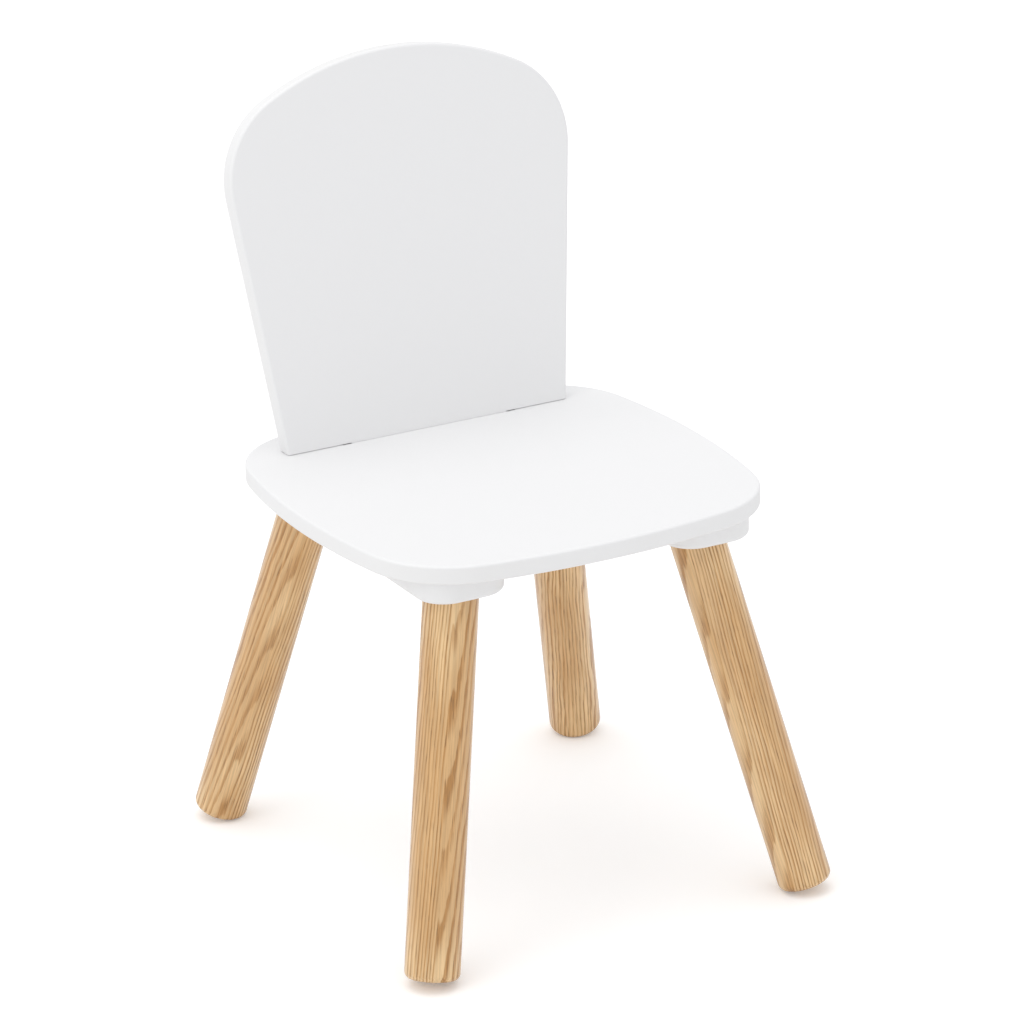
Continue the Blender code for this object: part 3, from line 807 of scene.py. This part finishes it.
def cross_recess():
    """A cross that narrows as it goes into the head."""
    shape = bmesh.new()
    outer = []
    inner = []
    for quarter in range(4):
        turn = Matrix.Rotation(-math.pi / 2 * quarter, 2)
        for point in (
            (RECESS_HALF_WIDTH, RECESS_HALF_WIDTH),
            (RECESS_HALF_LENGTH, RECESS_HALF_WIDTH),
            (RECESS_HALF_LENGTH, -RECESS_HALF_WIDTH),
        ):
            x, y = turn @ Vector(point)
            outer.append(shape.verts.new((x, y, -RECESS_ABOVE_HEAD)))
            inner.append(shape.verts.new((x * RECESS_TAPER, y * RECESS_TAPER, RECESS_DEPTH)))
    shape.faces.new(outer)
    shape.faces.new(reversed(inner))
    for index in range(len(outer)):
        after = (index + 1) % len(outer)
        shape.faces.new((outer[index], outer[after], inner[after], inner[index]))
    bmesh.ops.recalc_face_normals(shape, faces=shape.faces)
    return finished_mesh(shape)


def wood_screw(length):
    """Stands head down on Z = 0, its point up."""
    head_height = SCREW_HEAD_RADIUS - SCREW_RADIUS
    shank = SCREW_RADIUS - SCREW_THREAD / 2
    neck_end = head_height + NECK_LENGTH
    profile = [(0, length), (SCREW_TIP_RADIUS, length - SCREW_TIP_LENGTH)]
    profile += threaded(SCREW_RADIUS, length - SCREW_POINT, neck_end, SCREW_THREAD, SCREW_PITCH)
    profile += [
        (shank, neck_end - THREAD_RUN_OUT),
        (shank, head_height + FIT + NECK_FILLET),
        (SCREW_RADIUS, head_height + FIT),
        (SCREW_HEAD_RADIUS, FIT),
        (SCREW_HEAD_RADIUS, 0),
        (0, 0),
    ]
    body = turned(profile, SCREW_FACETS, SCREW_PITCH, 0.6)
    return drilled(body, Matrix.Identity(4), [(cross_recess(), Matrix.Identity(4))])


rail_screw = wood_screw(RAIL_SCREW_LENGTH)
for where, corner in CORNERS.items():
    for number, place in enumerate(rail_screw_places(corner), start=1):
        node = f"rail_screw_{where}_{number}"
        fit_piece(f"screw_{where}_{number}", rail_screw, place, zinc, node)
cleat_screw = wood_screw(CLEAT_SCREW_LENGTH)
for where, place in cleat_screw_places.items():
    node = "cleat_screw_" + where
    fit_piece("long_screw_" + where, cleat_screw, place, zinc, node)

# Hanger bolts and inserts. Each leg has a steel bolt, wood thread below and machine thread above,
# which screws into a threaded sleeve sunk through the rail and into the seat.
BOLT_IN_INSERT = 0.013
BOLT_CHAMFER = 0.0008
M8_PITCH = 0.00125
M8_THREAD = 0.0007
WOOD_THREAD = 0.0011
WOOD_THREAD_PITCH = 0.0025
WAIST_HALF_LENGTH = 0.001
THREADS_START = 0.0015
hanger_rows = [(0, BOLT_IN_INSERT), (BOLT_RADIUS - BOLT_CHAMFER, BOLT_IN_INSERT)]
hanger_rows += threaded(
    BOLT_RADIUS, BOLT_IN_INSERT - BOLT_CHAMFER, THREADS_START, M8_THREAD, M8_PITCH
)
hanger_rows += [
    (BOLT_RADIUS - M8_THREAD, WAIST_HALF_LENGTH),
    (BOLT_RADIUS - M8_THREAD, -WAIST_HALF_LENGTH),
]
hanger_rows += threaded(
    BOLT_RADIUS, -THREADS_START, SCREW_POINT - BOLT_IN_LEG, WOOD_THREAD, WOOD_THREAD_PITCH
)
hanger_rows += [(0, -BOLT_IN_LEG)]
hanger_bolt = turned(hanger_rows, 32, M8_PITCH, 0.9)
sleeve_rows = [
    (INSERT_RADIUS, 2 * FIT + INSERT_LENGTH),
    (INSERT_RADIUS, 2 * FIT),
    (BOLT_RADIUS + FIT, 2 * FIT),
    (BOLT_RADIUS + FIT, 2 * FIT + INSERT_LENGTH),
]
leg_insert = turned(sleeve_rows, 48, closed=True)
for where, corner in CORNERS.items():
    place = leg_place(corner)
    fit_piece("bolt_" + where, hanger_bolt, place, zinc, "hanger_bolt_" + where)
    fit_piece("sleeve_" + where, leg_insert, place, zinc, "leg_insert_" + where)

# Back bolts. Low round heads with a hexagon socket lie against the tongue's rear face, and the
# bolts go through it into threaded sleeves in the cleat.
BACK_BOLT_LENGTH = 0.022
HEAD_RADIUS = 0.0065
HEAD_HEIGHT = 0.0022
HEAD_DOME = ((1.0, 0.6), (0.95, 0.86), (0.85, 1.0))
HEX_HALF = 0.002
HEX_CORNER = HEX_HALF * 1.1547
M6_PITCH = 0.001
M6_THREAD = 0.0005
PLAIN_SHANK = 0.009
bolt_rows = [(0, BACK_BOLT_LENGTH), (BACK_BOLT_RADIUS - M6_THREAD, BACK_BOLT_LENGTH)]
bolt_rows += threaded(
    BACK_BOLT_RADIUS, BACK_BOLT_LENGTH - M6_THREAD, PLAIN_SHANK, M6_THREAD, M6_PITCH
)
bolt_rows += [
    (BACK_BOLT_RADIUS, PLAIN_SHANK - THREAD_RUN_OUT),
    (BACK_BOLT_RADIUS, -FIT),
    (HEAD_RADIUS, -FIT),
]
bolt_rows += [(HEAD_RADIUS * across, -HEAD_HEIGHT * down) for across, down in HEAD_DOME]
bolt_rows.append((0, -HEAD_HEIGHT))
hexagon = [
    Matrix.Rotation(math.pi / 3 * side_number, 2) @ Vector((HEX_CORNER, 0))
    for side_number in range(6)
]
hex_cut = slab(hexagon, 2 * (HEAD_HEIGHT - FIT))
back_bolt = drilled(
    turned(bolt_rows, 48, M6_PITCH, 1.0),
    Matrix.Identity(4),
    [(hex_cut, Matrix.Translation((0, 0, -HEAD_HEIGHT)))],
)
back_sleeve_start = BOARD + 2 * FIT
back_sleeve_rows = [
    (BACK_INSERT_RADIUS, back_sleeve_start + BACK_INSERT_LENGTH),
    (BACK_INSERT_RADIUS, back_sleeve_start),
    (BACK_BOLT_RADIUS + FIT, back_sleeve_start),
    (BACK_BOLT_RADIUS + FIT, back_sleeve_start + BACK_INSERT_LENGTH),
]
back_sleeve = turned(back_sleeve_rows, 40, closed=True)
for where, place in back_bolt_places.items():
    fit_piece("tongue_bolt_" + where, back_bolt, place, zinc, "back_bolt_" + where)
    node = "back_insert_" + where
    fit_piece("cleat_sleeve_" + where, back_sleeve, place, zinc, node)

# Studio. A plain white floor that runs off on all sides and is lifted a little to the eye, an even
# white surround, a wide soft lamp overhead and a smaller one at the upper left. The floor can be
# seen through from below.
FLOOR_REACH = 40
FLOOR_WHITE = (0.96, 0.96, 0.96, 1.0)
FLOOR_LIFT = 0.18
SURROUND_WHITE = (0.992, 0.996, 1.010, 1.0)
SURROUND_STRENGTH = 0.845
LAMP_WHITE = (1.0, 0.990, 0.965)
LAMP_AIM = Vector((0, 0, 0.25))
floor_mesh = bpy.data.meshes.new("floor")
floor_corners = rectangle(-FLOOR_REACH, FLOOR_REACH, -FLOOR_REACH, FLOOR_REACH)
floor_mesh.from_pydata([(corner.x, corner.y, 0) for corner in floor_corners], [], [(0, 1, 2, 3)])
floor = bpy.data.objects.new("floor", floor_mesh)
bpy.context.scene.collection.objects.link(floor)
floor_finish, tree, shader, spot = new_finish("white floor", Roughness=0.95)
shader.inputs["Base Color"].default_value = FLOOR_WHITE
shader.inputs["Emission Color"].default_value = (1.0, 1.0, 1.0, 1.0)
seen_directly = tree.nodes.new("ShaderNodeLightPath").outputs["Is Camera Ray"]
lift = calc(tree, "MULTIPLY", seen_directly, FLOOR_LIFT)
wire(tree, [shader.inputs["Emission Strength"]], [lift])
shader.inputs["Specular IOR Level"].default_value = 0.1
clear = tree.nodes.new("ShaderNodeBsdfTransparent")
one_sided = tree.nodes.new("ShaderNodeMixShader")
backfacing = tree.nodes.new("ShaderNodeNewGeometry").outputs["Backfacing"]
wire(tree, one_sided.inputs, (backfacing, shader.outputs[0], clear.outputs[0]))
tree.links.new(one_sided.outputs[0], tree.nodes["Material Output"].inputs["Surface"])
floor_mesh.materials.append(floor_finish)

surround = bpy.data.worlds.new("surround")
surround.use_nodes = True
background = surround.node_tree.nodes["Background"]
background.inputs["Color"].default_value = SURROUND_WHITE
background.inputs["Strength"].default_value = SURROUND_STRENGTH
bpy.context.scene.world = surround
bpy.context.scene.view_settings.view_transform = "Standard"

for lamp_name, spot, width, watts in (
    ("key_lamp", Vector((-2.4, -0.4, 2.0)), 1.8, 8.0),
    ("overhead_lamp", Vector((-0.3, 0.2, 3.0)), 3.0, 24.0),
):
    light = bpy.data.lights.new(lamp_name, "AREA")
    light.shape = "DISK"
    light.size = width
    light.energy = watts
    light.color = LAMP_WHITE
    lamp = bpy.data.objects.new(lamp_name, light)
    lamp.location = spot
    lamp.rotation_mode = "QUATERNION"
    lamp.rotation_quaternion = (LAMP_AIM - spot).to_track_quat("-Z", "Y")
    bpy.context.scene.collection.objects.link(lamp)

# Camera. A long lens from the front left and a little above, aimed past the middle of the chair
# and turned by a slight roll.
CAMERA_AZIMUTH = math.radians(-28.48)
CAMERA_ELEVATION = math.radians(21.104)
CAMERA_DISTANCE = 3.5373
CAMERA_TARGET = Vector((0.09083, 0.1522, 0.16854))
CAMERA_ROLL = math.radians(-1.142)
LENS_MM = 184.58
SENSOR_MM = 36.0
back_way = Vector((
    math.sin(CAMERA_AZIMUTH) * math.cos(CAMERA_ELEVATION),
    -math.cos(CAMERA_AZIMUTH) * math.cos(CAMERA_ELEVATION),
    math.sin(CAMERA_ELEVATION),
))
lens = bpy.data.cameras.new("camera")
lens.lens = LENS_MM
lens.sensor_width = SENSOR_MM
lens.clip_end = 200.0
camera = bpy.data.objects.new("camera", lens)
camera.rotation_mode = "QUATERNION"
camera.location = CAMERA_TARGET + back_way * CAMERA_DISTANCE
aimed = (-back_way).to_track_quat("-Z", "Y").to_matrix().to_4x4()
camera.rotation_quaternion = (aimed @ Matrix.Rotation(CAMERA_ROLL, 4, "Z")).to_quaternion()
bpy.context.scene.collection.objects.link(camera)
bpy.context.scene.camera = camera
